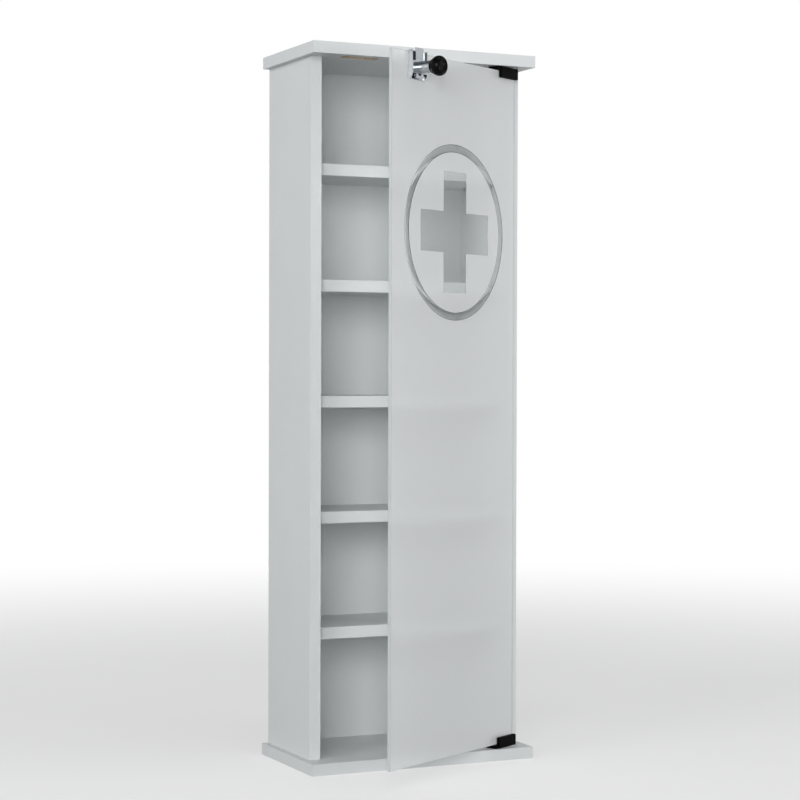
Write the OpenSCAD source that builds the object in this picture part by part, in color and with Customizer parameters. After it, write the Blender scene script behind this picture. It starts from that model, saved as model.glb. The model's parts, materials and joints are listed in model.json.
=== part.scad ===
// Tall narrow medicine cabinet with a frosted glass door, pivot hinges and a key lock.
// Origin: centre of the base board's underside. +Z up, the door faces -Y, +X is to the
// right seen from the front. The door stands open at rest, by door_open degrees.

/* [Cabinet] */
// Height over the top and the base board
cab_h = 920; // [860:1:1000]
// Width of the top and the base board
cab_w = 314; // [290:1:360]
// Depth of the top and the base board
cab_d = 172; // [160:1:220]
// Thickness of the top and the base board
board_t = 15; // [14:0.5:19]
// Thickness of a side panel
side_t = 15; // [14:0.5:19]
// How far the boards stand out past a side panel
side_overhang = 9; // [4:0.5:14]
// How far the boards stand out in front of the side panels
front_overhang = 31; // [28:0.5:45]
// Thickness of the back panel
back_t = 3; // [2:0.5:6]
// How far the back panel's edges stay inside the cabinet's outline
back_inset = 2; // [0.5:0.5:5]

/* [Shelves] */
// Thickness of a shelf
shelf_t = 15; // [12:0.5:18]
// Clear height of each of the upper compartments
upper_clear = 133; // [110:1:136]
// How far a shelf's front stays behind the side panels' fronts
shelf_setback = 16; // [5:1:40]
// Gap between a shelf's end and the side panel
shelf_end_gap = 0.3; // [0.2:0.05:0.8]
// Diameter of a shelf pin
shelf_pin_d = 5; // [4:0.5:6]
// Length of a shelf pin, half of it in the panel
shelf_pin_l = 16; // [12:1:20]
// Distance of the shelf pins from the shelf's front and rear edge
shelf_pin_inset = 25; // [15:1:40]

/* [Joinery] */
// Diameter of a wooden dowel
dowel_d = 8; // [6:0.5:9]
// Length of a dowel inside the side panel
dowel_in_side = 20; // [12:1:24]
// Depth of a dowel or a cam bolt in the board
dowel_in_board = 10; // [8:0.5:11]
// Diameter of a cam disc
cam_d = 15; // [13:0.5:16]
// Depth of a cam disc in the side panel
cam_t = 12.5; // [11:0.25:13]
// Distance of a cam disc's axis from the joint
cam_reach = 24; // [18:1:34]
// Distance of the cams from the side panel's front and rear edge
cam_inset = 32; // [24:1:45]
// Diameter of a cam bolt's shaft
cam_shaft_d = 6; // [5:0.25:6.5]
// Diameter of a cover cap
cap_d = 18; // [17:0.5:20]
// Thickness of a cover cap
cap_t = 1.2; // [0.8:0.1:2]
// Diameter of a back panel nail
nail_d = 1.6; // [1.2:0.1:2]
// Depth of a nail in the panel behind which it holds
nail_in = 15; // [10:1:20]
// Diameter of a nail head
nail_head_d = 3.6; // [3:0.2:5]
// Number of nails down each side
nail_count = 6; // [3:1:9]
// Diameter of a countersunk wood screw
wood_screw_d = 3.2; // [2.5:0.1:3.5]
// Diameter of a countersunk wood screw's head
wood_screw_head_d = 6; // [5:0.25:6.5]

/* [Wall plates] */
// Height of a hanging plate
hang_h = 60; // [50:1:80]
// Width of a hanging plate
hang_w = 13; // [10:0.5:15]
// Thickness of a hanging plate
hang_t = 1.5; // [1:0.1:2]
// Diameter of the hanging hole
hang_hole_d = 7; // [5:0.5:7.5]
// Depth of the pocket for the wall screw's head
hang_pocket = 18; // [12:1:25]
// Distance of the hanging hole from the top of the cabinet
hang_drop = 120; // [90:1:160]
// Distance between a hanging plate's two screws
hang_screw_pitch = 44; // [34:1:46]
// Length of a hanging plate's screw
hang_screw_l = 16; // [12:1:25]
// Gap around a hanging plate in the back panel
hang_clear = 0.5; // [0.3:0.1:1]

/* [Door] */
// Thickness of the glass
glass_t = 4; // [3:0.5:6]
// Gap above and below the glass
door_gap = 5.5; // [5:0.1:9]
// Gap between the closed glass and the side panels' fronts
door_clear = 3.5; // [3:0.25:6]
// How far the glass covers the side panel at the hinges
lap_hinge = 8.5; // [4:0.5:12]
// How far the glass covers the side panel at the lock
lap_lock = 1.5; // [0.5:0.5:12]
// How far the door stands open at rest, in degrees
door_open = 29.5; // [0:0.5:75]

/* [Emblem] */
// Distance of the emblem's centre from the top of the glass
emblem_drop = 216.5; // [150:0.5:400]
// Outer radius of the bevelled ring
ring_r = 111; // [85:1:125]
// Width of the bevelled ring
ring_band = 10; // [5:0.5:15]
// Depth of the ring's V groove
ring_depth = 1.2; // [0.5:0.1:2]
// Length of the cross's arms from tip to tip
cross_len = 152; // [90:1:160]
// Width of the cross's arms
cross_bar = 51; // [20:1:70]
// Depth of the polished cross
cross_depth = 0.2; // [0.1:0.05:0.5]

/* [Hinges] */
// Diameter of a hinge pin
pin_d = 3; // [2:0.25:3.5]
// Distance of the hinge pin from the glass's edge
pin_from_edge = 5.5; // [4:0.5:8]
// Outer diameter of the pin's bush
bush_d = 6; // [5:0.25:7]
// Depth of the bush in the board
bush_in_board = 7; // [5:0.5:9]
// Diameter of the bush's collar
collar_d = 8; // [7:0.5:9]
// Thickness of the bush's collar, between the board and the clamp
collar_t = 0.4; // [0.2:0.1:0.6]
// Gap that stays open between the collar and the clamp
collar_gap = 0.1; // [0.05:0.05:0.2]
// Radial running clearance of a hinge pin in its bush
pin_clear = 0.05; // [0.03:0.01:0.1]
// Length of a hinge clamp's outer jaw along the door
jaw_l = 39; // [34:1:60]
// How far the clamp stands past the glass's edge
jaw_past_edge = 2; // [0.5:0.5:3]
// Thickness of the clamp's outer jaw
jaw_t = 4.5; // [4.5:0.25:6]
// How far the clamp reaches over the glass
jaw_cover = 9; // [7:0.5:16]
// Corner radius of the clamp's outer jaw
jaw_corner_r = 1.5; // [0.5:0.25:3]
// Thickness of the clamp's foot over the glass's edge
foot_t = 3; // [2:0.25:3.5]
// How far the foot reaches past the outer jaw's inner end
foot_past_jaw = 5.5; // [2:0.5:10]
// How far the foot's front stays behind the outer jaw's face
foot_setback = 1.5; // [0.5:0.25:2.5]
// Corner radius of the foot
foot_corner_r = 1.5; // [0.5:0.25:3]
// Thickness of the clamp's inner block
inner_t = 6.5; // [5:0.25:9]
// How far the foot stands out past the inner block
foot_rim = 0.5; // [0.25:0.25:1]
// Gap between the foot and the side panel
foot_side_gap = 2; // [1:0.5:4]
// Thickness of a rubber pad on the glass
pad_t = 0.5; // [0.3:0.1:0.8]
// Thickness of a pressure plate
press_t = 1; // [0.8:0.1:1.5]
// Gap between a pressure plate and what its grub screws go through
press_gap = 0.5; // [0.3:0.1:1]
// Diameter of a grub screw
grub_d = 4; // [3:0.5:4]
// How far a grub screw stands out of its hole
grub_proud = 0.5; // [0.2:0.1:1]
// Distance of a hinge's grub screws from the ends of the inner block
hinge_grub_edge = 6.5; // [5:0.5:8]

/* [Lock] */
// Distance of the lock's axis from the glass's free edge
lock_from_edge = 50.5; // [40:0.5:90]
// Distance of the lock's axis from the top of the glass
lock_drop = 19; // [18:0.5:24]
// Width of the lock housing
housing_w = 33; // [30:0.5:40]
// Height of the lock housing
housing_h = 35.3; // [34.5:0.1:42]
// Depth of the lock housing in front of the glass
housing_d = 6.5; // [6.4:0.1:8]
// Thickness of the lock housing's sheet
sheet_t = 1.5; // [1:0.1:1.7]
// Width of the clamp behind the glass
clip_w = 24; // [20:1:28]
// Height of the clamp behind the glass
clip_h = 28; // [22:1:34]
// Distance of the lock's grub screws from its middle
clip_grub_dx = 6; // [4:0.5:7]
// Height of the lock's grub screws above the clamp's lower edge
clip_grub_rise = 7; // [5:0.5:10]
// Height of the strap across the housing
strap_h = 15.5; // [14:0.5:18]
// Thickness of the strap across the housing
strap_t = 1.2; // [0.8:0.1:2]
// Diameter of the lock barrel
barrel_d = 15; // [14:0.5:17]
// Length of the lock barrel
barrel_l = 17; // [15:0.5:24]
// Diameter of the turning core
core_d = 10; // [9:0.25:12]
// Radial running clearance of the core and its neck
core_clear = 0.05; // [0.03:0.01:0.1]
// Diameter of the core's neck through the bolt
neck_d = 6; // [5:0.25:6.5]
// Diameter of the cam on the core's rear end
lock_cam_d = 13; // [12.5:0.25:15]
// Radius at which the cam's pin turns
cam_pin_r = 5; // [4.5:0.1:5.2]
// Diameter of the cam's pin
cam_pin_d = 2.5; // [2:0.1:2.5]
// Clearance around the cam's pin in the bolt
cam_pin_clear = 0.25; // [0.2:0.05:0.3]
// Width of the bolt
bolt_w = 16; // [15.5:0.1:18]
// Thickness of the bolt
bolt_t = 2; // [1.5:0.1:2]
// Gap between the drawn-back bolt and the top board
bolt_gap = 0.5; // [0.3:0.1:1.5]
// Sliding clearance beside, behind and in front of the bolt
bolt_clear = 0.2; // [0.1:0.05:0.2]

/* [Bolt pocket] */
// Width of the pocket in the top board
pocket_w = 50; // [30:1:60]
// Depth of the pocket from front to back
pocket_d = 18; // [12:1:20]
// How far the pocket is cut up into the top board
pocket_h = 9; // [8.5:0.1:10]
// Corner radius of the pocket
pocket_r = 3; // [1:0.5:5]
// Gap in front of the bolt in the pocket
pocket_front_gap = 2.2; // [1:0.1:4]

/* [Key] */
// Width of the key's blade
blade_w = 7; // [5:0.5:7.5]
// Thickness of the key's blade
blade_t = 2; // [1.5:0.1:2.4]
// Clearance around the blade in the keyway
blade_clear = 0.2; // [0.1:0.05:0.3]
// Depth of the keyway in the core
keyway_l = 16; // [12:0.5:16]
// Depth of the blade in the key's head
blade_in_head = 6; // [4:0.5:8]
// Gap between the barrel and the key's head
key_gap = 0.4; // [0.3:0.1:1]
// Diameter of the key's neck
key_neck_d = 17.5; // [14:0.5:20]
// Length of the key's neck
key_neck_l = 1.5; // [1:0.25:3]
// Diameter of the key's head
key_head_d = 25; // [22:0.2:28]
// Length over which the key's head widens from the neck
key_flare_l = 8.5; // [6:0.5:11]
// Length of the rounded rim in front of the head's widest place
key_rim_l = 6.5; // [4:0.25:8]
// Diameter of the dish in the key's head
key_dish_d = 15; // [12:0.5:18]
// Depth of the dish in the key's head
key_dish = 3.5; // [1:0.25:5]

/* [Hidden] */
$fn = 64;

white = [0.90, 0.91, 0.92];
frosted = [0.78, 0.84, 0.87, 0.75];
black = [0.06, 0.06, 0.06];
chrome = [0.78, 0.80, 0.82];
steel = [0.62, 0.63, 0.65];
zinc = [0.70, 0.71, 0.72];
beech = [0.80, 0.65, 0.45];
rubber = [0.16, 0.16, 0.17];
nylon = [0.85, 0.85, 0.82];

// Radial clearance of screws, nails, dowels and other fixed round pieces
seat = 0.05;
// Overlap that lets a cut run past a face
cut = 1;
shelf_count = 5;

// Carcass planes
side_out = cab_w / 2 - side_overhang;
side_in = side_out - side_t;
side_mid = side_out - side_t / 2;
front_y = -cab_d / 2 + front_overhang;
rear_y = cab_d / 2;
under_top = cab_h - board_t;
side_l = rear_y - front_y;

// Joinery
dowel_y = (front_y + rear_y) / 2;
cam_ys = [front_y + cam_inset, rear_y - cam_inset];
cam_head_d = cam_shaft_d + 1;
cam_neck_d = cam_shaft_d * 2 / 3;
cam_head_l = 3;
cam_neck_l = 4;
cam_bore_depth = cam_t + 0.3;
cam_slot_clear = 0.3;
nail_head_t = 0.8;
nail_margin = 60;
nail_pitch = (cab_h - 2 * nail_margin) / (nail_count - 1);
nail_zs = [for (i = [0 : nail_count - 1]) nail_margin + i * nail_pitch];
nail_xs = [-cab_w / 4, cab_w / 4];
nail_edge_zs = [board_t / 2, cab_h - board_t / 2];

// Wall plates
hang_z = cab_h - hang_drop;

// Shelves
function shelf_top(i) = under_top - i * upper_clear - (i - 1) * shelf_t;
shelf_front_y = front_y + shelf_setback;
shelf_pin_ys = [shelf_front_y + shelf_pin_inset, rear_y - shelf_pin_inset];

// Closed door
glass_front_y = front_y - door_clear - glass_t;
glass_back_y = glass_front_y + glass_t;
glass_x0 = -side_in - lap_lock;
glass_x1 = side_in + lap_hinge;
glass_z0 = board_t + door_gap;
glass_z1 = under_top - door_gap;
emblem_x = (glass_x0 + glass_x1) / 2;
emblem_z = glass_z1 - emblem_drop;

// Hinges
pin_x = glass_x1 - pin_from_edge;
pin_y = glass_front_y - pad_t - jaw_t / 2;
pin_tip_gap = 1.5;
pin_in_jaw = jaw_cover - 2;
web_gap = 0.4;
jaw_x1 = glass_x1 + jaw_past_edge;
jaw_x0 = jaw_x1 - jaw_l;
jaw_y1 = glass_front_y - pad_t;
jaw_y0 = jaw_y1 - jaw_t;
clamp_top = under_top - collar_t - collar_gap;
jaw_low = glass_z1 - jaw_cover;
inner_x1 = side_in - foot_side_gap - foot_rim;
inner_y0 = glass_back_y + pad_t + press_t + press_gap;
pad_margin = 1;
hinge_grub_xs = [jaw_x0 + hinge_grub_edge, inner_x1 - hinge_grub_edge];
hinge_grub_z = glass_z1 - jaw_cover / 2 + 0.5;
grub_socket_d = grub_d / 2;
grub_socket_l = grub_d * 0.4;

// Lock. A depth in front of the glass is counted from the glass's front face.
lock_x = glass_x0 + lock_from_edge;
lock_z = glass_z1 - lock_drop;
housing_top = glass_z1 + web_gap + sheet_t;
housing_low = housing_top - housing_h;
chamfer_h = 5;
chamfer_d = 3.5;
strap_n = housing_d;
bolt_n = strap_n - bolt_clear - bolt_t;
lock_cam_t = bolt_n - bolt_clear - (pad_t + sheet_t) - 0.3;
lock_cam_n = bolt_n - bolt_clear - lock_cam_t;
barrel_n = strap_n + strap_t;
barrel_end = barrel_n + barrel_l;
core_n = barrel_n + 0.1;
core_end = barrel_end - 0.2;
spigot_d = neck_d - 2;
bolt_top = under_top - bolt_gap;
bolt_low = housing_low + 1;
bolt_slot_w = neck_d + 2 * bolt_clear;
bolt_travel = cam_pin_r * sqrt(2);
cam_pin_dx = cam_pin_r / sqrt(2);
cam_pin_dz = -cam_pin_r / sqrt(2);
cam_pin_tip_gap = 0.3;
lug_t = 1.5;
clip_n0 = -(glass_t + pad_t + press_t + press_gap);
clip_grub_z = housing_top - clip_h + clip_grub_rise;

// Pocket for the bolt in the top board
pocket_y0 = glass_front_y - bolt_n - bolt_t - pocket_front_gap;

// Key
blade_n0 = core_end - keyway_l + 0.5;
head_n0 = barrel_end + key_gap;

// ---------------------------------------------------------------- placing

// Turns the closed door and what is on it to the open rest pose
module on_door() {
    translate([pin_x, pin_y, 0])
        rotate([0, 0, door_open])
            translate([-pin_x, -pin_y, 0])
                children();
}

// Runs along +Y, from the given face into the cabinet
module rod_y(d, l) {
    rotate([-90, 0, 0])
        cylinder(d = d, h = l);
}

// Runs outward from a depth n in front of the closed glass
module lock_rod(d, n, l, dx = 0, dz = 0) {
    translate([lock_x + dx, glass_front_y - n, lock_z + dz])
        rotate([90, 0, 0])
            cylinder(d = d, h = l);
}

// A block in front of the closed glass, from depth n0 to n1
module lock_block(x0, x1, n0, n1, z0, z1) {
    translate([x0, glass_front_y - n1, z0])
        cube([x1 - x0, n1 - n0, z1 - z0]);
}

// Turns a piece of the top half over to the bottom half
module at_bottom() {
    translate([0, 0, cab_h])
        mirror([0, 0, 1])
            children();
}

// Repeats a piece of the right-hand side on the left-hand side
module both_sides() {
    children();
    mirror([1, 0, 0])
        children();
}

module rounded_rect(w, h, r) {
    translate([r, 0])
        square([w - 2 * r, h]);
    translate([0, r])
        square([w, h - 2 * r]);
    for (x = [r, w - r], y = [r, h - r])
        translate([x, y])
            circle(r = r);
}

// ---------------------------------------------------------------- carcass

module dowel_at(z, grow = 0) {
    translate([side_mid, dowel_y, z])
        cylinder(d = dowel_d + 2 * grow, h = dowel_in_side + dowel_in_board + 2 * grow);
}

// The parts of a cam bolt, drawn from the joint at the top board downwards
module cam_bolt(grow = 0) {
    shaft_l = cam_reach - cam_neck_l;
    translate([side_mid, 0, under_top])
        cylinder(d = cam_shaft_d - 1 + 2 * grow, h = dowel_in_board + grow);
    translate([side_mid, 0, under_top - shaft_l])
        cylinder(d = cam_shaft_d + 2 * grow, h = shaft_l);
    translate([side_mid, 0, under_top - cam_reach])
        cylinder(d = cam_neck_d + 2 * grow, h = cam_neck_l);
    translate([side_mid, 0, under_top - cam_reach - cam_head_l / 2])
        cylinder(d = cam_head_d + 2 * grow, h = cam_head_l);
}

module nail() {
    rod_y(nail_d, back_t + nail_in);
    rotate([90, 0, 0])
        cylinder(d = nail_head_d, h = nail_head_t);
}

module nail_hole() {
    translate([0, -cut, 0])
        rod_y(nail_d + 2 * seat, cut + back_t + nail_in + seat);
}

// Places a child on the back panel's rear face, once for every nail
module each_nail() {
    for (z = nail_zs, x = [-side_mid, side_mid])
        translate([x, rear_y + back_t, z])
            rotate([0, 0, 180])
                children();
    for (x = nail_xs, z = nail_edge_zs)
        translate([x, rear_y + back_t, z])
            rotate([0, 0, 180])
                children();
}

// One end of the right side panel: the cuts for its dowel and cam bolts
module side_end_cuts() {
    dowel_at(under_top - dowel_in_side, seat);
    for (y = cam_ys)
        translate([0, y, 0]) {
            translate([side_mid, 0, under_top - cam_reach])
                cylinder(d = cam_head_d + 1, h = cam_reach + cut);
            translate([side_in - cut, 0, under_top - cam_reach])
                rotate([0, 90, 0])
                    cylinder(d = cam_d + 2 * seat, h = cam_bore_depth + cut);
        }
}

module side_panel() {
    color(white)
        difference() {
            translate([side_in, front_y, board_t])
                cube([side_t, side_l, under_top - board_t]);
            side_end_cuts();
            at_bottom()
                side_end_cuts();
            for (i = [1 : shelf_count], y = shelf_pin_ys)
                translate([side_in - cut, y, shelf_top(i) - shelf_t - shelf_pin_d / 2])
                    rotate([0, 90, 0])
                        cylinder(d = shelf_pin_d + 2 * seat, h = shelf_pin_l / 2 + seat + cut);
            each_nail()
                nail_hole();
            translate([side_mid, rear_y - hang_pocket, hang_z])
                rod_y(hang_hole_d + 2, hang_pocket + cut);
            for (dz = [-hang_screw_pitch / 2, hang_screw_pitch / 2])
                translate([side_mid, rear_y - hang_screw_l, hang_z + dz])
                    rod_y(wood_screw_d + 2 * seat, hang_screw_l + cut);
        }
}

module side_panel_right() {
    side_panel();
}

module side_panel_left() {
    mirror([1, 0, 0])
        side_panel();
}

// What both boards have: the outline and the holes of the joints and the hinge
module board_at_top() {
    difference() {
        translate([-cab_w / 2, -cab_d / 2, under_top])
            cube([cab_w, cab_d, board_t]);
        both_sides() {
            dowel_at(under_top - dowel_in_side, seat);
            for (y = cam_ys)
                translate([0, y, 0])
                    cam_bolt(seat);
        }
        each_nail()
            nail_hole();
        translate([pin_x, pin_y, under_top - cut])
            cylinder(d = bush_d + 2 * seat, h = bush_in_board + seat + cut);
    }
}

module top_board() {
    color(white)
        difference() {
            board_at_top();
            translate([lock_x - pocket_w / 2, pocket_y0, under_top - cut])
                linear_extrude(pocket_h + cut)
                    rounded_rect(pocket_w, pocket_d, pocket_r);
        }
}

module bottom_board() {
    color(white)
        at_bottom()
            board_at_top();
}

module shelf(i) {
    color(white)
        translate([-side_in + shelf_end_gap, shelf_front_y, shelf_top(i) - shelf_t])
            cube([2 * (side_in - shelf_end_gap), rear_y - shelf_front_y, shelf_t]);
}

module shelf_pins() {
    color(steel)
        both_sides()
            for (i = [1 : shelf_count], y = shelf_pin_ys)
                translate([side_in - shelf_pin_l / 2, y, shelf_top(i) - shelf_t - shelf_pin_d / 2])
                    rotate([0, 90, 0])
                        cylinder(d = shelf_pin_d, h = shelf_pin_l);
}

module back_panel() {
    half_w = side_out - back_inset;
    color(white)
        difference() {
            translate([-half_w, rear_y, back_inset])
                cube([2 * half_w, back_t, cab_h - 2 * back_inset]);
            each_nail()
                nail_hole();
            // notch at the edge that leaves room for a hanging plate
            both_sides()
                translate([side_mid - hang_w / 2 - hang_clear, rear_y - cut,
                           hang_z - hang_h / 2 - hang_clear])
                    cube([hang_w + side_t, back_t + 2 * cut, hang_h + 2 * hang_clear]);
        }
}

module back_nails() {
    color(steel)
        each_nail()
            nail();
}

module wood_dowels() {
    color(beech)
        both_sides() {
            dowel_at(under_top - dowel_in_side);
            at_bottom()
                dowel_at(under_top - dowel_in_side);
        }
}

// Places a child at each of the eight cams
module each_cam() {
    both_sides()
        for (y = cam_ys)
            translate([0, y, 0]) {
                children();
                at_bottom()
                    children();
            }
}

module cam_bolts() {
    color(steel)
        each_cam()
            cam_bolt();
}

module cam_discs() {
    cross_slot_l = 8;
    cross_slot_w = 1.6;
    cross_slot_h = 1.5;
    color(zinc)
        each_cam()
            translate([side_in, 0, under_top - cam_reach])
                difference() {
                    rotate([0, 90, 0])
                        cylinder(d = cam_d, h = cam_t);
                    translate([side_t / 2, 0, -cam_head_l / 2 - cam_slot_clear])
                        cylinder(d = cam_head_d + 2 * cam_slot_clear, h = cam_d);
                    for (a = [0, 90])
                        rotate([a, 0, 0])
                            translate([-cut, -cross_slot_w / 2, -cross_slot_l / 2])
                                cube([cross_slot_h + cut, cross_slot_w, cross_slot_l]);
                }
}

module cam_caps() {
    color(white)
        each_cam()
            translate([side_in, 0, under_top - cam_reach])
                rotate([0, -90, 0])
                    cylinder(d1 = cap_d, d2 = cap_d - 1.5, h = cap_t);
}

// ---------------------------------------------------------------- wall plates

// A countersunk wood screw that enters along +Z, its flat head at z = 0
module wood_screw(l) {
    head_h = (wood_screw_head_d - wood_screw_d) / 2;
    drive_w = wood_screw_head_d / 6;
    drive_depth = head_h / 2;
    difference() {
        union() {
            cylinder(d1 = wood_screw_head_d, d2 = wood_screw_d, h = head_h);
            translate([0, 0, head_h])
                cylinder(d = wood_screw_d, h = l - head_h - wood_screw_d);
            translate([0, 0, l - wood_screw_d])
                cylinder(d1 = wood_screw_d, d2 = wood_screw_d / 5, h = wood_screw_d);
        }
        for (a = [0, 90])
            rotate([0, 0, a])
                translate([-wood_screw_head_d / 3, -drive_w / 2, -cut])
                    cube([wood_screw_head_d / 1.5, drive_w, cut + drive_depth]);
    }
}

// The countersunk hole that the screw's head fits
module wood_screw_hole(l) {
    head_h = (wood_screw_head_d - wood_screw_d) / 2;
    translate([0, 0, -cut])
        cylinder(d = wood_screw_d + 2 * seat, h = l + 2 * cut);
    cylinder(d1 = wood_screw_head_d + 2 * seat, d2 = wood_screw_d + 2 * seat, h = head_h);
}

module hanging_plates() {
    color(zinc)
        both_sides()
            difference() {
                translate([side_mid - hang_w / 2, rear_y + hang_t, hang_z - hang_h / 2])
                    rotate([90, 0, 0])
                        linear_extrude(hang_t)
                            rounded_rect(hang_w, hang_h, hang_w / 3);
                translate([side_mid, rear_y - cut, hang_z])
                    rod_y(hang_hole_d, hang_t + 2 * cut);
                for (dz = [-hang_screw_pitch / 2, hang_screw_pitch / 2])
                    translate([side_mid, rear_y + hang_t, hang_z + dz])
                        rotate([90, 0, 0])
                            wood_screw_hole(hang_t);
            }
}

module hanging_screws() {
    color(steel)
        both_sides()
            for (dz = [-hang_screw_pitch / 2, hang_screw_pitch / 2])
                translate([side_mid, rear_y + hang_t, hang_z + dz])
                    rotate([90, 0, 0])
                        wood_screw(hang_screw_l);
}

// ---------------------------------------------------------------- hinges, fixed half

// Bush pressed into the board, with a collar that the clamp runs against
module hinge_bush() {
    color(nylon)
        difference() {
            union() {
                translate([pin_x, pin_y, under_top - collar_t])
                    cylinder(d = collar_d, h = collar_t);
                translate([pin_x, pin_y, under_top - collar_t])
                    cylinder(d = bush_d, h = collar_t + bush_in_board);
            }
            translate([pin_x, pin_y, under_top - collar_t - cut])
                cylinder(d = pin_d + 2 * pin_clear, h = collar_t + bush_in_board + 2 * cut);
        }
}

module hinge_bush_top() {
    hinge_bush();
}

module hinge_bush_bottom() {
    at_bottom()
        hinge_bush();
}

// ---------------------------------------------------------------- glass door

// V groove of the ring, cut into the glass's front face
module ring_groove() {
    translate([emblem_x, glass_front_y, emblem_z])
        rotate([-90, 0, 0])
            rotate_extrude($fn = 180)
                polygon([
                    [ring_r - ring_band, -cut], [ring_r - ring_band, 0],
                    [ring_r - ring_band / 2, ring_depth],
                    [ring_r, 0], [ring_r, -cut]
                ]);
}

module cross_recess() {
    translate([emblem_x - cross_len / 2, glass_front_y - cut, emblem_z - cross_bar / 2])
        cube([cross_len, cut + cross_depth, cross_bar]);
    translate([emblem_x - cross_bar / 2, glass_front_y - cut, emblem_z - cross_len / 2])
        cube([cross_bar, cut + cross_depth, cross_len]);
}

module glass_door() {
    color(frosted)
        on_door()
            difference() {
                translate([glass_x0, glass_front_y, glass_z0])
                    cube([glass_x1 - glass_x0, glass_t, glass_z1 - glass_z0]);
                ring_groove();
                cross_recess();
            }
}

// ---------------------------------------------------------------- hinges, door half

module hinge_clamp() {
    foot_x0 = jaw_x0 - foot_past_jaw;
    foot_x1 = inner_x1 + foot_rim;
    foot_y0 = jaw_y0 + foot_setback;
    foot_y1 = inner_y0 + inner_t + foot_rim;
    color(black)
        difference() {
            union() {
                // outer jaw with its rounded corners, seen on the front
                translate([jaw_x0, jaw_y1, jaw_low])
                    rotate([90, 0, 0])
                        linear_extrude(jaw_t)
                            rounded_rect(jaw_l, clamp_top - jaw_low, jaw_corner_r);
                // foot between the glass's edge and the board
                translate([foot_x0, foot_y0, clamp_top - foot_t])
                    linear_extrude(foot_t)
                        rounded_rect(foot_x1 - foot_x0, foot_y1 - foot_y0, foot_corner_r);
                // inner block that the grub screws go through
                translate([jaw_x0, inner_y0, jaw_low])
                    linear_extrude(clamp_top - foot_t / 2 - jaw_low)
                        rounded_rect(inner_x1 - jaw_x0, inner_t, foot_corner_r);
            }
            translate([pin_x, pin_y, glass_z1 - pin_in_jaw])
                cylinder(d = pin_d + 2 * seat, h = pin_in_jaw + board_t);
            for (x = hinge_grub_xs)
                translate([x, inner_y0 - cut, hinge_grub_z])
                    rod_y(grub_d + 2 * seat, inner_t + 2 * cut);
        }
}

module hinge_clamp_top() {
    on_door()
        hinge_clamp();
}

module hinge_clamp_bottom() {
    on_door()
        at_bottom()
            hinge_clamp();
}

module hinge_pin() {
    pin_z0 = glass_z1 - pin_in_jaw;
    pin_z1 = under_top + bush_in_board - pin_tip_gap;
    color(steel)
        translate([pin_x, pin_y, pin_z0]) {
            cylinder(d = pin_d, h = pin_z1 - pin_z0 - 0.5);
            translate([0, 0, pin_z1 - pin_z0 - 0.5])
                cylinder(d1 = pin_d, d2 = pin_d - 1, h = 0.5);
        }
}

module hinge_pin_top() {
    on_door()
        hinge_pin();
}

module hinge_pin_bottom() {
    on_door()
        at_bottom()
            hinge_pin();
}

module hinge_pads() {
    pad_low = jaw_low + pad_margin;
    color(rubber) {
        translate([jaw_x0 + pad_margin, jaw_y1, pad_low])
            cube([glass_x1 - jaw_x0 - 2 * pad_margin, pad_t, glass_z1 - pad_low]);
        translate([jaw_x0 + pad_margin, glass_back_y, pad_low])
            cube([inner_x1 - jaw_x0 - 2 * pad_margin, pad_t, glass_z1 - pad_low]);
    }
}

module hinge_pads_top() {
    on_door()
        hinge_pads();
}

module hinge_pads_bottom() {
    on_door()
        at_bottom()
            hinge_pads();
}

module hinge_pressure_plate() {
    plate_low = jaw_low + pad_margin;
    translate([jaw_x0 + pad_margin, glass_back_y + pad_t, plate_low])
        cube([inner_x1 - jaw_x0 - 2 * pad_margin, press_t, glass_z1 - plate_low]);
}

module hinge_pressure_plates() {
    color(steel)
        on_door() {
            hinge_pressure_plate();
            at_bottom()
                hinge_pressure_plate();
        }
}

// A grub screw along +Y, its tip at the origin and its hexagon socket at the far end
module grub_screw(l) {
    difference() {
        rod_y(grub_d, l);
        translate([0, l - grub_socket_l, 0])
            rotate([-90, 0, 0])
                cylinder(d = grub_socket_d, h = grub_socket_l + cut, $fn = 6);
    }
}

module hinge_grub_pair() {
    for (x = hinge_grub_xs)
        translate([x, inner_y0 - press_gap, hinge_grub_z])
            grub_screw(press_gap + inner_t + grub_proud);
}

module hinge_grub_screws() {
    color(steel)
        on_door() {
            hinge_grub_pair();
            at_bottom()
                hinge_grub_pair();
        }
}

// ---------------------------------------------------------------- lock

// One side wall of the housing, its lower front corner cut off
module housing_wall(x) {
    translate([x, glass_front_y - pad_t, 0])
        rotate([90, 0, 90])
            linear_extrude(sheet_t)
                polygon([
                    [0, housing_low], [-(housing_d - pad_t - chamfer_d), housing_low],
                    [-(housing_d - pad_t), housing_low + chamfer_h],
                    [-(housing_d - pad_t), housing_top], [0, housing_top]
                ]);
}

module lock_housing() {
    x0 = lock_x - housing_w / 2;
    x1 = lock_x + housing_w / 2;
    clip_x0 = lock_x - clip_w / 2;
    clip_x1 = lock_x + clip_w / 2;
    color(chrome)
        on_door()
            difference() {
                union() {
                    lock_block(x0, x1, pad_t, pad_t + sheet_t, housing_low, housing_top);
                    housing_wall(x0);
                    housing_wall(x1 - sheet_t);
                    lock_block(clip_x0, clip_x1, clip_n0 - sheet_t, pad_t + sheet_t,
                               housing_top - sheet_t, housing_top);
                    lock_block(clip_x0, clip_x1, clip_n0 - sheet_t, clip_n0,
                               housing_top - clip_h, housing_top);
                }
                for (dx = [-clip_grub_dx, clip_grub_dx])
                    translate([lock_x + dx, glass_front_y - clip_n0 - cut, clip_grub_z])
                        rod_y(grub_d + 2 * seat, sheet_t + 2 * cut);
            }
}

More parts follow.
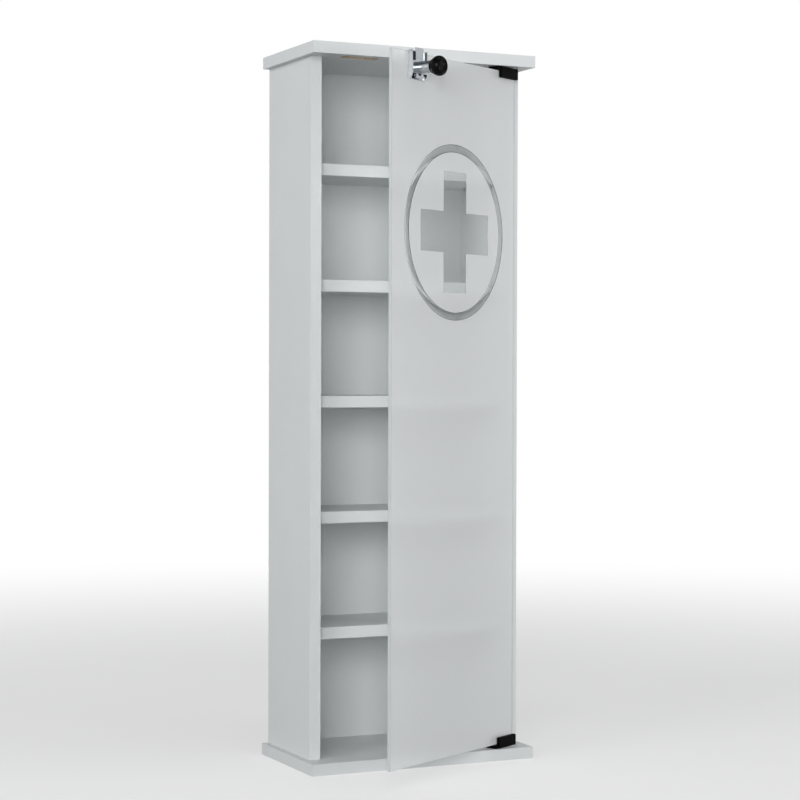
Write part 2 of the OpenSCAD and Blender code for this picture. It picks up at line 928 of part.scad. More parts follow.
module lock_pads() {
    pad_x0 = lock_x - housing_w / 2 + pad_margin;
    pad_x1 = lock_x + housing_w / 2 - pad_margin;
    inner_x0 = lock_x - clip_w / 2 + pad_margin;
    inner_x1 = lock_x + clip_w / 2 - pad_margin;
    clip_low = housing_top - clip_h + pad_margin;
    color(rubber)
        on_door() {
            lock_block(pad_x0, pad_x1, 0, pad_t, housing_low + pad_margin, glass_z1);
            lock_block(inner_x0, inner_x1, -glass_t - pad_t, -glass_t, clip_low, glass_z1);
        }
}

module lock_pressure_plate() {
    inner_x0 = lock_x - clip_w / 2 + pad_margin;
    inner_x1 = lock_x + clip_w / 2 - pad_margin;
    clip_low = housing_top - clip_h + pad_margin;
    color(steel)
        on_door()
            lock_block(inner_x0, inner_x1, -glass_t - pad_t - press_t, -glass_t - pad_t,
                       clip_low, glass_z1);
}

module lock_grub_screws() {
    color(steel)
        on_door()
            for (dx = [-clip_grub_dx, clip_grub_dx])
                translate([lock_x + dx, glass_back_y + pad_t + press_t, clip_grub_z])
                    grub_screw(press_gap + sheet_t + grub_proud);
}

// Strap across the housing that carries the barrel and guides the bolt
module lock_strap() {
    z0 = lock_z - strap_h / 2;
    z1 = lock_z + strap_h / 2;
    lug_x = bolt_w / 2 + bolt_clear;
    color(chrome)
        on_door()
            difference() {
                union() {
                    lock_block(lock_x - housing_w / 2, lock_x + housing_w / 2,
                               strap_n, strap_n + strap_t, z0, z1);
                    lock_block(lock_x + lug_x, lock_x + lug_x + lug_t,
                               bolt_n, strap_n + strap_t / 2, z0, z1);
                    lock_block(lock_x - lug_x - lug_t, lock_x - lug_x,
                               bolt_n, strap_n + strap_t / 2, z0, z1);
                }
                lock_rod(neck_d + 2 * bolt_clear, strap_n - cut, strap_t + 2 * cut);
            }
}

module lock_barrel() {
    rim_h = 0.6;
    color(chrome)
        on_door()
            difference() {
                union() {
                    lock_rod(barrel_d, barrel_n, barrel_l - rim_h);
                    translate([lock_x, glass_front_y - barrel_end + rim_h, lock_z])
                        rotate([90, 0, 0])
                            cylinder(d1 = barrel_d, d2 = barrel_d - 2 * rim_h, h = rim_h);
                }
                lock_rod(core_d + 2 * core_clear, barrel_n - cut, barrel_l + 2 * cut);
            }
}

module lock_core() {
    keyway_w = blade_w + 2 * blade_clear;
    keyway_t = blade_t + 2 * blade_clear;
    color(zinc)
        on_door()
            difference() {
                union() {
                    lock_rod(core_d, core_n, core_end - core_n);
                    lock_rod(neck_d, lock_cam_n + lock_cam_t, core_n - lock_cam_n - lock_cam_t);
                    lock_rod(spigot_d, lock_cam_n, lock_cam_t + 0.5);
                }
                lock_block(lock_x - keyway_t / 2, lock_x + keyway_t / 2,
                           core_end - keyway_l, core_end + cut,
                           lock_z - keyway_w / 2, lock_z + keyway_w / 2);
            }
}

module lock_cam() {
    pin_end = bolt_n + bolt_t + bolt_clear - cam_pin_tip_gap;
    color(steel)
        on_door()
            difference() {
                union() {
                    lock_rod(lock_cam_d, lock_cam_n, lock_cam_t);
                    lock_rod(cam_pin_d, lock_cam_n + lock_cam_t / 2,
                             pin_end - lock_cam_n - lock_cam_t / 2, cam_pin_dx, cam_pin_dz);
                }
                lock_rod(spigot_d + 2 * seat, lock_cam_n - cut, lock_cam_t + 2 * cut);
            }
}

module lock_bolt() {
    slot_half = cam_pin_d / 2 + cam_pin_clear;
    pin_z = lock_z + cam_pin_dz;
    color(chrome)
        on_door()
            difference() {
                lock_block(lock_x - bolt_w / 2, lock_x + bolt_w / 2,
                           bolt_n, bolt_n + bolt_t, bolt_low, bolt_top);
                // upright slot that lets the core's neck through over the travel
                lock_rod(bolt_slot_w, bolt_n - cut, bolt_t + 2 * cut);
                lock_rod(bolt_slot_w, bolt_n - cut, bolt_t + 2 * cut, 0, -bolt_travel);
                lock_block(lock_x - bolt_slot_w / 2, lock_x + bolt_slot_w / 2,
                           bolt_n - cut, bolt_n + bolt_t + cut, lock_z - bolt_travel, lock_z);
                // level slot that the cam's pin slides along
                lock_block(lock_x, lock_x + cam_pin_r + slot_half,
                           bolt_n - cut, bolt_n + bolt_t + cut,
                           pin_z - slot_half, pin_z + slot_half);
            }
}

// ---------------------------------------------------------------- key

module key_blade() {
    tip = 2.5;
    color(steel)
        on_door()
            translate([lock_x - blade_t / 2, glass_front_y, lock_z])
                rotate([90, 0, 90])
                    linear_extrude(blade_t)
                        polygon([
                            [-blade_n0 - tip, -blade_w / 2], [-blade_n0, -blade_w / 2 + tip],
                            [-blade_n0, blade_w / 2 - tip], [-blade_n0 - tip, blade_w / 2],
                            [-head_n0 - blade_in_head, blade_w / 2],
                            [-head_n0 - blade_in_head, -blade_w / 2]
                        ]);
}

// Turned head: it widens from the neck, and has a rounded rim around a dish
module key_head() {
    r = key_head_d / 2;
    neck_r = key_neck_d / 2;
    dish_r = key_dish_d / 2;
    widest = key_neck_l + key_flare_l;
    head_l = widest + key_rim_l;
    neck_edge = 0.4;
    flare = [for (t = [0 : 0.125 : 1])
        [neck_r + (r - neck_r) * (1 - pow(1 - t, 2)), key_neck_l + key_flare_l * t]];
    rim = [for (a = [15 : 15 : 75])
        [dish_r + (r - dish_r) * cos(a), widest + key_rim_l * sin(a)]];
    dish = [for (a = [0 : 15 : 75])
        [dish_r * cos(a), head_l - key_dish * sin(a)]];
    color(black)
        on_door()
            translate([lock_x, glass_front_y - head_n0, lock_z])
                rotate([90, 0, 0])
                    difference() {
                        rotate_extrude()
                            polygon(concat(
                                [[0, 0], [neck_r - neck_edge, 0], [neck_r, neck_edge]],
                                flare, rim, dish, [[0, head_l - key_dish]]
                            ));
                        translate([-blade_t / 2 - seat, -blade_w / 2 - seat, -cut])
                            cube([blade_t + 2 * seat, blade_w + 2 * seat, blade_in_head + cut + seat]);
                    }
}

// ---------------------------------------------------------------- nodes

top_board();
bottom_board();
side_panel_left();
side_panel_right();
shelf(1);  // shelf_1
shelf(2);  // shelf_2
shelf(3);  // shelf_3
shelf(4);  // shelf_4
shelf(5);  // shelf_5
shelf_pins();
back_panel();
back_nails();
wood_dowels();
cam_bolts();
cam_discs();
cam_caps();
hanging_plates();
hanging_screws();
hinge_bush_top();
hinge_bush_bottom();
glass_door();
hinge_clamp_top();
hinge_clamp_bottom();
hinge_pin_top();
hinge_pin_bottom();
hinge_pads_top();
hinge_pads_bottom();
hinge_pressure_plates();
hinge_grub_screws();
lock_housing();
lock_pads();
lock_pressure_plate();
lock_grub_screws();
lock_strap();
lock_barrel();
lock_core();
lock_cam();
lock_bolt();
key_blade();
key_head();
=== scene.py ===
"""Finishes, soft edges, light and camera for the medicine cabinet."""
import json
import math

import bpy
from mathutils import Matrix, Vector


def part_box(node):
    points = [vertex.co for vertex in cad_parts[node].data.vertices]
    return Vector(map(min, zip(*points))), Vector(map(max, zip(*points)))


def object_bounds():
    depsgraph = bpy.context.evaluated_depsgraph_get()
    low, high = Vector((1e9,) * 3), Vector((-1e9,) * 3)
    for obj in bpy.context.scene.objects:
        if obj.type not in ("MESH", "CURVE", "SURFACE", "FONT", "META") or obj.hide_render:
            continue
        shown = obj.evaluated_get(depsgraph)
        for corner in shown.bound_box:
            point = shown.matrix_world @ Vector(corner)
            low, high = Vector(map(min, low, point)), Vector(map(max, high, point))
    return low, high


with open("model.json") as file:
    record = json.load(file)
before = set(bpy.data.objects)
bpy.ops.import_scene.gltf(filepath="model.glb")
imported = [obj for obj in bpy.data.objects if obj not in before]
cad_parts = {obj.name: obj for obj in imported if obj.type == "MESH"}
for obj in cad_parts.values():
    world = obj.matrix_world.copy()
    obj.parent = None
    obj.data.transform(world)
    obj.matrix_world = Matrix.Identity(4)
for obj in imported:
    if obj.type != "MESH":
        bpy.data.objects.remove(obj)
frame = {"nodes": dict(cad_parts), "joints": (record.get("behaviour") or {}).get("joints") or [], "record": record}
cad_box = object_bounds()
nodes = frame["nodes"]
record = frame["record"]
scene = bpy.context.scene

MM = 0.001


def rgb(grey, *others):
    return (grey, *(others or (grey, grey)), 1)


# Rounding of the sharp edges
BOARD_ARRIS = 0.7 * MM
METAL_ARRIS = 0.35 * MM
GLASS_ARRIS = 0.4 * MM
ARRIS_ANGLE = math.radians(40)
WELD_DISTANCE = 0.002 * MM

# Edge bands of the boards, and the bare chipboard around the bolt's pocket
BAND_THICKNESS = 0.8 * MM
BAND_SEAM = 0.16 * MM
FACE_TOLERANCE = 0.3 * MM
POCKET_MARGIN = 1.6 * MM
POCKET_RIM = 0.05 * MM
ALL_ROUND = ("-x", "+x", "-y", "+y")
FRONT_ONLY = ("-y",)
SHELVES = [f"shelf_{number}" for number in range(1, 6)]

# The emblem on the door, measured from the glass's top edge and its middle
EMBLEM_DROP = 216.5 * MM
RING_OUTER = 111 * MM
RING_INNER = 101 * MM
CROSS_HALF_LENGTH = 76 * MM
CROSS_HALF_BAR = 25.5 * MM
EMBLEM_BLUR = 0.12 * MM
# Width of the painted shade, a dark line along both edges of the ring's groove that stands for the shading there,
# and how deep in the glass it may lie
PAINTED_SHADE_WIDTH = 0.8 * MM
PAINTED_SHADE_DEPTH = 2.1 * MM
# The etched skin of the outer face, and how far the ground edges reach in from the sides and the ends
SKIN = 0.04 * MM
SKIN_BLUR = 0.02 * MM
SIDE_RIM = 1.0 * MM
END_RIM = 0.4 * MM
RIM_BLUR = 0.1 * MM

WHITE_BOARD = rgb(0.64, 0.66, 0.665)
WHITE_BOARD_CLOUD = rgb(0.627, 0.646, 0.653)
SEAM_GREY = rgb(0.42, 0.42, 0.40)
CHIPBOARD_LIGHT = rgb(0.88, 0.76, 0.60)
CHIPBOARD_DARK = rgb(0.56, 0.41, 0.26)
HARDBOARD_DARK = rgb(0.20, 0.115, 0.06)
HARDBOARD_LIGHT = rgb(0.36, 0.235, 0.135)
HARDBOARD_PATCH = rgb(0.27, 0.165, 0.09)
GLASS_CLEAR = rgb(0.91, 0.925, 0.93)
GLASS_GROUND = rgb(0.66, 0.70, 0.695)
# painted shade: the dark colour of the lines along the edges of the ring's groove
GLASS_PAINTED_SHADE = rgb(0.10, 0.11, 0.12)
GLASS_SHADE = rgb(0.16, 0.17, 0.175)

# The room: walls that light the object, and what the camera, metal and glass see of it
WALL_LOW = rgb(0.29, 0.30, 0.305)
WALL_HIGH = rgb(0.14, 0.145, 0.15)
WALL_LOW_END = 0.2
WALL_HIGH_START = 0.9
# The white backdrop turns to the ceiling's grey between these heights of the direction
CEILING_START = 0.35
CEILING_END = 0.8
CEILING = rgb(0.12, 0.125, 0.13)
WHITE = rgb(1.0)
FLOOR_SEEN = rgb(0.84, 0.84, 0.83)
FLOOR_SEEN_CLOUD = rgb(0.82, 0.82, 0.81)
FLOOR_FOR_LIGHT = rgb(0.24, 0.235, 0.225)
FLOOR_SIZE = 9.0
FLOOR_GAP = 0.02 * MM
# The floor glows with FLOOR_GLOW up to FADE_START from the object, and is plain white from FADE_END on
FLOOR_GLOW = 0.5
FADE_START = 0.6
FADE_END = 3.0

# Each soft box: place, target and size in metres, and watts
LAMPS = {
    "side_light": ((-3.35, -1.45, 1.15), (0, 0, 0.45), (1.0, 1.4), 51),
    "key_light": ((-1.9, -3.1, 1.2), (0, 0, 0.45), (1.4, 1.4), 62),
    "front_fill": ((1.5, -1.8, 0.5), (0.1, 0, 0.45), (0.9, 0.75), 16),
    "top_light": ((0.2, -0.8, 2.9), (0, -0.1, 0.6), (1.6, 1.0), 9),
}

CAMERA_PLACE = (-1.1903, -2.54564, 0.50989)
CAMERA_YAW = math.radians(25.120)
CAMERA_PITCH = math.radians(-0.8174)
CAMERA_ROLL = math.radians(0.1545)
CAMERA_LENS = 96.12
CAMERA_SENSOR = 36
CAMERA_CLIP = 0.05

# ------------------------------------------------------------------ node trees


class Graph:
    """The node tree of a new material or world. Its helpers add a node and return its main output."""

    def __init__(self, owner, coordinates="Object"):
        owner.use_nodes = True
        self.owner = owner
        self.tree = owner.node_tree
        self.tree.nodes.clear()
        self.place = self.add("TexCoord").outputs[coordinates]

    def add(self, kind, values=None, **settings):
        made = self.tree.nodes.new("ShaderNode" + kind)
        for key, value in settings.items():
            setattr(made, key, value)
        for socket, value in (values or {}).items():
            if isinstance(value, bpy.types.NodeSocket):
                self.tree.links.new(value, made.inputs[socket])
            else:
                made.inputs[socket].default_value = value
        return made

    def math(self, operation, a, b=0.0):
        return self.add("Math", {0: a, 1: b}, operation=operation).outputs[0]

    def product(self, first, *others):
        for other in others:
            first = self.math("MULTIPLY", first, other)
        return first

    def largest(self, first, *others):
        for other in others:
            first = self.math("MAXIMUM", first, other)
        return first

    def axis(self, index):
        return self.add("SeparateXYZ", {0: self.place}).outputs[index]

    def along(self, direction, origin):
        """How far a point lies from origin along a direction."""
        offset = self.add("VectorMath", {0: self.place, 1: origin}, operation="SUBTRACT").outputs[0]
        return self.add("VectorMath", {0: offset, 1: direction}, operation="DOT_PRODUCT").outputs["Value"]

    def ramp(self, value, start, end, low=0.0, high=1.0, kind="SMOOTHSTEP"):
        """low up to start, high from end on, and a change between. start may be the larger one."""
        values = {"Value": value, "From Min": start, "From Max": end, "To Min": low, "To Max": high}
        return self.add("MapRange", values, interpolation_type=kind).outputs[0]

    def within(self, value, low, high, blur):
        """1 where value is between low and high."""
        above_low = self.ramp(value, low - blur, low + blur)
        return self.product(above_low, self.ramp(value, high + blur, high - blur))

    def stretched(self, scale):
        return self.add("Mapping", {"Vector": self.place, "Scale": scale}).outputs[0]

    def noise(self, scale, detail=3.0, roughness=0.5, where=None):
        """Cloudy noise with about scale lumps to the metre."""
        values = {"Vector": where or self.place, "Scale": scale, "Detail": detail, "Roughness": roughness}
        return self.add("TexNoise", values).outputs["Fac"]

    def cells(self, scale, where, output, feature="F1"):
        """Voronoi cells, about scale to the metre."""
        return self.add("TexVoronoi", {"Vector": where, "Scale": scale}, feature=feature).outputs[output]

    def mix(self, factor, a, b):
        return self.add("Mix", {0: factor, 6: a, 7: b}, data_type="RGBA").outputs[2]

    def bump(self, height, distance, strength, below=None):
        values = {"Height": height, "Distance": distance, "Strength": strength}
        if below is not None:
            values["Normal"] = below
        return self.add("Bump", values).outputs[0]

    def principled(self, **values):
        names = {name: name.replace("_", " ").title().replace("Ior", "IOR") for name in values}
        return self.add("BsdfPrincipled", {names[name]: value for name, value in values.items()}).outputs[0]

    def show(self, shader, output="OutputMaterial"):
        self.add(output, {"Surface": shader})
        return self.owner


def material_graph(name):
    return Graph(bpy.data.materials.new(name))


# ------------------------------------------------------------------ materials


def chipboard(graph):
    """Colour and height of cut chipboard."""
    chips_per_metre = 260
    chips = graph.stretched((1.0, 1.6, 2.2))
    tone = graph.add("SeparateColor", {0: graph.cells(chips_per_metre, chips, "Color")}).outputs[0]
    edge = graph.cells(chips_per_metre, chips, "Distance", feature="DISTANCE_TO_EDGE")
    inner = graph.ramp(edge, 0.0, 0.12)
    colour = graph.mix(graph.product(tone, 0.6), CHIPBOARD_LIGHT, CHIPBOARD_DARK)
    colour = graph.mix(inner, CHIPBOARD_DARK, colour)
    return colour, graph.math("ADD", inner, graph.noise(1500))


def band_seams(graph, low, high, banded):
    """1 on the fine lines where the edge bands meet the faces of a board."""
    seams = []
    for side in banded:
        index = "xyz".index(side[1])
        line = low[index] + BAND_THICKNESS if side[0] == "-" else high[index] - BAND_THICKNESS
        seam = graph.within(graph.axis(index), line - BAND_SEAM / 2, line + BAND_SEAM / 2, BAND_SEAM / 3)
        if index == 0:
            # the front and rear bands cover the ends of the side bands
            front, rear = low[1] + FACE_TOLERANCE, high[1] - FACE_TOLERANCE
            seam = graph.product(seam, graph.within(graph.axis(1), front, rear, RIM_BLUR))
        seams.append(seam)
    return graph.largest(*seams)


def board_material(name, node, banded, cut=None):
    """White melamine with edge bands on the sides in banded, such as -y. cut is a box of bare chipboard."""
    graph = material_graph(name)
    low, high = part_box(node)
    seam = band_seams(graph, low, high, banded)
    colour = graph.mix(graph.product(graph.noise(7, detail=2), 0.5), WHITE_BOARD, WHITE_BOARD_CLOUD)
    colour = graph.mix(graph.product(seam, 0.38), colour, SEAM_GREY)
    peel = graph.math("ADD", graph.noise(620, detail=2), graph.product(graph.noise(90, detail=1), 0.6))
    height = graph.math("SUBTRACT", peel, graph.product(seam, 1.6))
    normal = graph.bump(height, distance=0.035 * MM, strength=0.55)
    rough = graph.ramp(graph.noise(18, detail=4, roughness=0.6), 0.3, 0.75, 0.38, 0.5)
    if cut:
        inside = graph.product(*[
            graph.within(graph.axis(i), cut[0][i], cut[1][i], FACE_TOLERANCE / 6) for i in range(3)])
        bare, grain = chipboard(graph)
        colour = graph.mix(inside, colour, bare)
        rough = graph.ramp(inside, 0.0, 1.0, 0.4, 0.9)
        normal = graph.bump(graph.product(inside, grain), distance=0.35 * MM, strength=0.7, below=normal)
    return graph.show(graph.principled(base_color=colour, roughness=rough, specular_ior_level=0.3,
                                       normal=normal))


def hardboard_material(name, node):
    """White in front, bare brown fibreboard on the rear face and the edges."""
    graph = material_graph(name)
    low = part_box(node)[0]
    front = graph.ramp(graph.axis(1), low[1] + 0.15 * MM, low[1] + 0.05 * MM)
    fibres = graph.noise(700, detail=6, roughness=0.75)
    patches = graph.noise(24, detail=5, roughness=0.6)
    brown = graph.mix(graph.ramp(fibres, 0.35, 0.68), HARDBOARD_DARK, HARDBOARD_LIGHT)
    brown = graph.mix(graph.ramp(patches, 0.35, 0.7, 0.0, 0.35), brown, HARDBOARD_PATCH)
    colour = graph.mix(front, brown, WHITE_BOARD)
    rough = graph.math("ADD", graph.ramp(front, 0.0, 1.0, 0.62, 0.42), graph.product(fibres, 0.15))
    bare = graph.math("SUBTRACT", 1.0, front)
    normal = graph.bump(graph.product(fibres, bare), distance=0.12 * MM, strength=0.5)
    return graph.show(graph.principled(base_color=colour, roughness=rough, normal=normal))


def glass_material(name, node):
    """Satin etched outer face with a polished ring and cross, clear inner face, ground edges."""
    graph = material_graph(name)
    door = next(j for j in frame["joints"] if j["name"] == "door_swing")
    open_angle = math.radians(-door["range_deg"][0])
    # at rest the glass runs from its free edge to its hinge edge along this direction
    along = Vector((math.cos(open_angle), math.sin(open_angle), 0))
    outward = Vector((math.sin(open_angle), -math.cos(open_angle), 0))
    corners = [v.co for v in nodes[node].data.vertices]
    reach = [c.dot(along) for c in corners]
    face = max(c.dot(outward) for c in corners)
    half_width = (max(reach) - min(reach)) / 2
    low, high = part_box(node)
    middle = along * (min(reach) + max(reach)) / 2
    centre = middle + outward * face + Vector((0, 0, high.z - EMBLEM_DROP))
    u = graph.along(along, centre)
    v = graph.along((0, 0, 1), centre)
    n = graph.along(outward, centre)

    radius = graph.math("SQRT", graph.math("ADD", graph.product(u, u), graph.product(v, v)))
    ring = graph.within(radius, RING_INNER, RING_OUTER, EMBLEM_BLUR)
    across, upright = graph.math("ABSOLUTE", u), graph.math("ABSOLUTE", v)

    def cross_bar(lengthwise, crosswise):
        length = graph.ramp(lengthwise, CROSS_HALF_LENGTH + EMBLEM_BLUR, CROSS_HALF_LENGTH - EMBLEM_BLUR)
        breadth = graph.ramp(crosswise, CROSS_HALF_BAR + EMBLEM_BLUR, CROSS_HALF_BAR - EMBLEM_BLUR)
        return graph.product(length, breadth)

    clear = graph.largest(ring, cross_bar(across, upright), cross_bar(upright, across))
    outer_face = graph.ramp(n, -SKIN - SKIN_BLUR, -SKIN + SKIN_BLUR)
    frost = graph.product(outer_face, graph.math("SUBTRACT", 1.0, clear))
    height = graph.axis(2)
    side, top, foot = half_width - SIDE_RIM, high.z - END_RIM, low.z + END_RIM
    ground = graph.largest(graph.ramp(across, side - RIM_BLUR, side + RIM_BLUR),
                           graph.ramp(height, top - RIM_BLUR, top + RIM_BLUR),
                           graph.ramp(height, foot + RIM_BLUR, foot - RIM_BLUR))
    satin = graph.largest(frost, ground)

    colour = graph.mix(ground, GLASS_CLEAR, GLASS_GROUND)
    # painted shade: dark lines along both edges of the ring, near the outer face
    painted_shade = graph.largest(graph.within(radius, RING_OUTER - PAINTED_SHADE_WIDTH, RING_OUTER, EMBLEM_BLUR),
                           graph.within(radius, RING_INNER, RING_INNER + PAINTED_SHADE_WIDTH, EMBLEM_BLUR))
    near_front = graph.ramp(n, -PAINTED_SHADE_DEPTH - RIM_BLUR, -PAINTED_SHADE_DEPTH + RIM_BLUR)
    colour = graph.mix(graph.product(painted_shade, near_front), colour, GLASS_PAINTED_SHADE)
    rough = graph.ramp(satin, 0.0, 1.0, 0.01, 0.36)
    let_through = graph.ramp(satin, 0.0, 1.0, 1.0, 0.42)
    normal = graph.bump(graph.product(graph.noise(2600, detail=2), satin), distance=0.02 * MM, strength=0.25)
    glass = graph.principled(base_color=colour, roughness=rough, ior=1.5, transmission_weight=let_through,
                             normal=normal)
    lamp_ray = graph.add("LightPath").outputs["Is Shadow Ray"]
    shade = graph.add("BsdfTransparent", {"Color": GLASS_SHADE}).outputs[0]
    return graph.show(graph.add("MixShader", {0: lamp_ray, 1: glass, 2: shade}).outputs[0])


def black_coat_material(name):
    graph = material_graph(name)
    grain = graph.noise(2200, detail=2)
    wear = graph.noise(140, detail=5, roughness=0.7)
    colour = graph.mix(graph.ramp(wear, 0.4, 0.8), rgb(0.0015, 0.0014, 0.0013), rgb(0.003, 0.0028, 0.0026))
    rough = graph.ramp(wear, 0.3, 0.7, 0.42, 0.54)
    return graph.show(graph.principled(base_color=colour, roughness=rough, specular_ior_level=0.03,
                                       normal=graph.bump(grain, distance=0.03 * MM, strength=0.3)))


def metal_material(name, base, dark, gloss):
    """Plated metal: base with darker clouds, roughness around gloss, and fine scratches."""
    graph = material_graph(name)
    clouds = graph.noise(160, detail=4, roughness=0.6)
    colour = graph.mix(graph.ramp(clouds, 0.35, 0.75), base, dark)
    scratches = graph.noise(3000, detail=3, roughness=0.65)
    rough = graph.math("ADD", graph.ramp(clouds, 0.3, 0.75, gloss * 0.8, gloss * 1.25),
                       graph.product(scratches, 0.04))
    return graph.show(graph.principled(base_color=colour, metallic=1.0, roughness=rough,
                                       normal=graph.bump(scratches, distance=0.01 * MM, strength=0.25)))


def black_plastic_material(name):
    graph = material_graph(name)
    skin = graph.noise(1800, detail=2)
    handling = graph.noise(220, detail=4, roughness=0.7)
    rough = graph.ramp(handling, 0.3, 0.75, 0.14, 0.22)
    colour = graph.mix(graph.ramp(handling, 0.4, 0.8), rgb(0.001, 0.001, 0.0011), rgb(0.002, 0.002, 0.002))
    return graph.show(graph.principled(base_color=colour, roughness=rough, specular_ior_level=0.07,
                                       normal=graph.bump(skin, distance=0.01 * MM, strength=0.25)))


def moulded_material(name, tone, shade, gloss):
    """Moulded plastic or rubber: two close tones, a fine grain, and roughness around gloss."""
    graph = material_graph(name)
    grain = graph.noise(1400, detail=3)
    colour = graph.mix(graph.ramp(graph.noise(120, detail=3), 0.35, 0.7), tone, shade)
    rough = graph.ramp(grain, 0.3, 0.7, gloss - 0.05, gloss + 0.06)
    return graph.show(graph.principled(base_color=colour, roughness=rough,
                                       normal=graph.bump(grain, distance=0.02 * MM, strength=0.35)))


def beech_material(name):
    graph = material_graph(name)
    grain = graph.noise(160, detail=5, roughness=0.65, where=graph.stretched((6, 6, 0.6)))
    colour = graph.mix(graph.ramp(grain, 0.35, 0.68), rgb(0.62, 0.43, 0.25), rgb(0.42, 0.26, 0.13))
    return graph.show(graph.principled(base_color=colour, roughness=0.6,
                                       normal=graph.bump(grain, distance=0.05 * MM, strength=0.4)))


PLAIN = {
    "black_metal": black_coat_material("black_metal"),
    "chrome": metal_material("chrome", rgb(0.44, 0.465, 0.485), rgb(0.37, 0.39, 0.41), 0.14),
    "steel": metal_material("steel", rgb(0.58, 0.585, 0.59), rgb(0.44, 0.445, 0.45), 0.3),
    "zinc": metal_material("zinc", rgb(0.60, 0.61, 0.62), rgb(0.46, 0.47, 0.49), 0.34),
    "beech": beech_material("beech"),
    "white_plastic": moulded_material("white_plastic", rgb(0.66, 0.68, 0.69), rgb(0.63, 0.65, 0.66), 0.4),
    "nylon": moulded_material("nylon", rgb(0.72, 0.72, 0.68), rgb(0.64, 0.64, 0.60), 0.5),
    "rubber": moulded_material("rubber", rgb(0.03), rgb(0.022), 0.8),
    "black_plastic": black_plastic_material("black_plastic"),
    "frosted_glass": glass_material("frosted_glass", "glass_door"),
    "white_hardboard": hardboard_material("white_hardboard", "back_panel"),
}

pocket = next(o for o in record["physics"]["openings"] if o["name"] == "bolt_pocket")
top_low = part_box("top_board")[0]
cut_low = [pocket["box_m"][0][i] - POCKET_MARGIN for i in range(2)] + [top_low.z + POCKET_RIM]
cut_high = [pocket["box_m"][1][i] + POCKET_MARGIN for i in range(3)]

BOARDS = {
    "top_board": board_material("white_board_top", "top_board", ALL_ROUND, (cut_low, cut_high)),
    "bottom_board": board_material("white_board_base", "bottom_board", ALL_ROUND),
    "side_panel_left": board_material("white_board_side_left", "side_panel_left", FRONT_ONLY),
    "side_panel_right": board_material("white_board_side_right", "side_panel_right", FRONT_ONLY),
}
for shelf in SHELVES:
    BOARDS[shelf] = board_material(f"white_board_{shelf}", shelf, FRONT_ONLY)

slot_of = {part["node"]: part["material_slot"] for part in record["subparts"]}
for name, node in nodes.items():
    node.data.materials.clear()
    node.data.materials.append(BOARDS.get(name) or PLAIN[slot_of[name]])

# ------------------------------------------------------------------ soft edges


def soften(node, width, segments=2):
    """Rounds the sharp edges a little, so that they catch the light. The mesh itself stays."""
    weld = node.modifiers.new("weld", "WELD")
    weld.merge_threshold = WELD_DISTANCE
    bevel = node.modifiers.new("arris", "BEVEL")
    bevel.width = width
    bevel.segments = segments
    bevel.limit_method = "ANGLE"
    bevel.angle_limit = ARRIS_ANGLE
    bevel.harden_normals = False


for name in BOARDS:
    soften(nodes[name], BOARD_ARRIS, 3)
soften(nodes["glass_door"], GLASS_ARRIS)
for name in ("lock_housing", "lock_strap", "lock_bolt", "hinge_clamp_top", "hinge_clamp_bottom"):
    soften(nodes[name], METAL_ARRIS)

# ------------------------------------------------------------------ studio


def stage_plane(name, size, place, material):
    half = size / 2
    corners = [(-half, -half, 0), (half, -half, 0), (half, half, 0), (-half, half, 0)]
    mesh = bpy.data.meshes.new(name)
    mesh.from_pydata(corners, [], [range(len(corners))])
    mesh.materials.append(material)
    plane = bpy.data.objects.new(name, mesh)
    plane.location = place
    scene.collection.objects.link(plane)


def seen_directly(graph):
    """1 for the rays that show the backdrop: the camera's, and those that metal and glass send on."""
    path = graph.add("LightPath").outputs
    return graph.largest(path["Is Glossy Ray"], path["Is Transmission Ray"], path["Is Camera Ray"])


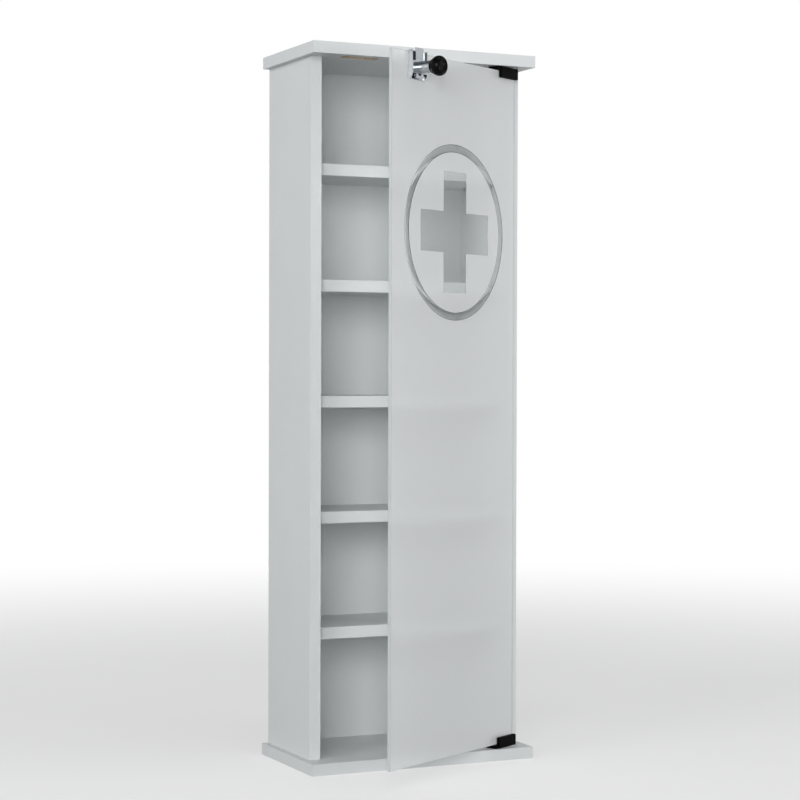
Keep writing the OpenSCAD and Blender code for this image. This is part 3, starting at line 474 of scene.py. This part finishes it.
def floor_material():
    """Pale floor that fades into the white backdrop. It sends little light up, as a darker floor does."""
    graph = material_graph("floor_pale")
    distance = graph.add("VectorMath", {0: graph.place}, operation="LENGTH").outputs["Value"]
    pale = graph.mix(graph.ramp(graph.noise(3, detail=3), 0.3, 0.7), FLOOR_SEEN, FLOOR_SEEN_CLOUD)
    seen = seen_directly(graph)
    floor = graph.principled(base_color=graph.mix(seen, FLOOR_FOR_LIGHT, pale), roughness=0.75)
    white = graph.add("Emission", {"Color": WHITE}).outputs[0]
    fade = graph.product(seen, graph.ramp(distance, FADE_START, FADE_END, FLOOR_GLOW, 1.0))
    return graph.show(graph.add("MixShader", {0: fade, 1: floor, 2: white}).outputs[0])


def studio_world():
    """Dim walls that light the object softly. What shows the room sees white under a grey ceiling."""
    graph = Graph(bpy.data.worlds.new("studio"), "Generated")
    height = graph.axis(2)
    walls = graph.mix(graph.ramp(height, WALL_LOW_END, WALL_HIGH_START, kind="LINEAR"), WALL_LOW, WALL_HIGH)
    backdrop = graph.mix(graph.ramp(height, CEILING_START, CEILING_END), WHITE, CEILING)
    light = graph.add("Background", {"Color": walls}).outputs[0]
    shown = graph.add("Background", {"Color": backdrop}).outputs[0]
    either = graph.add("MixShader", {0: seen_directly(graph), 1: light, 2: shown}).outputs[0]
    return graph.show(either, "OutputWorld")


def soft_box(name, place, target, size, watts):
    data = bpy.data.lights.new(name, "AREA")
    data.shape = "RECTANGLE"
    data.size, data.size_y = size
    data.energy = watts
    lamp = bpy.data.objects.new(name, data)
    lamp.location = place
    lamp.rotation_euler = (Vector(target) - Vector(place)).to_track_quat("-Z", "Y").to_euler()
    scene.collection.objects.link(lamp)


stage_plane("floor", FLOOR_SIZE, (0, 0, cad_box[0].z - FLOOR_GAP), floor_material())
scene.world = studio_world()
for name, lamp in LAMPS.items():
    soft_box(name, *lamp)

# ------------------------------------------------------------------ camera

camera_data = bpy.data.cameras.new("camera")
camera_data.sensor_width = CAMERA_SENSOR
camera_data.lens = CAMERA_LENS
camera_data.clip_start = CAMERA_CLIP
camera = bpy.data.objects.new("camera", camera_data)
camera.matrix_world = (Matrix.Translation(CAMERA_PLACE)
                       @ Matrix.Rotation(-CAMERA_YAW, 4, "Z")
                       @ Matrix.Rotation(math.pi / 2 + CAMERA_PITCH, 4, "X")
                       @ Matrix.Rotation(CAMERA_ROLL, 4, "Z"))
scene.collection.objects.link(camera)
scene.camera = camera
scene.view_settings.view_transform = "Standard"
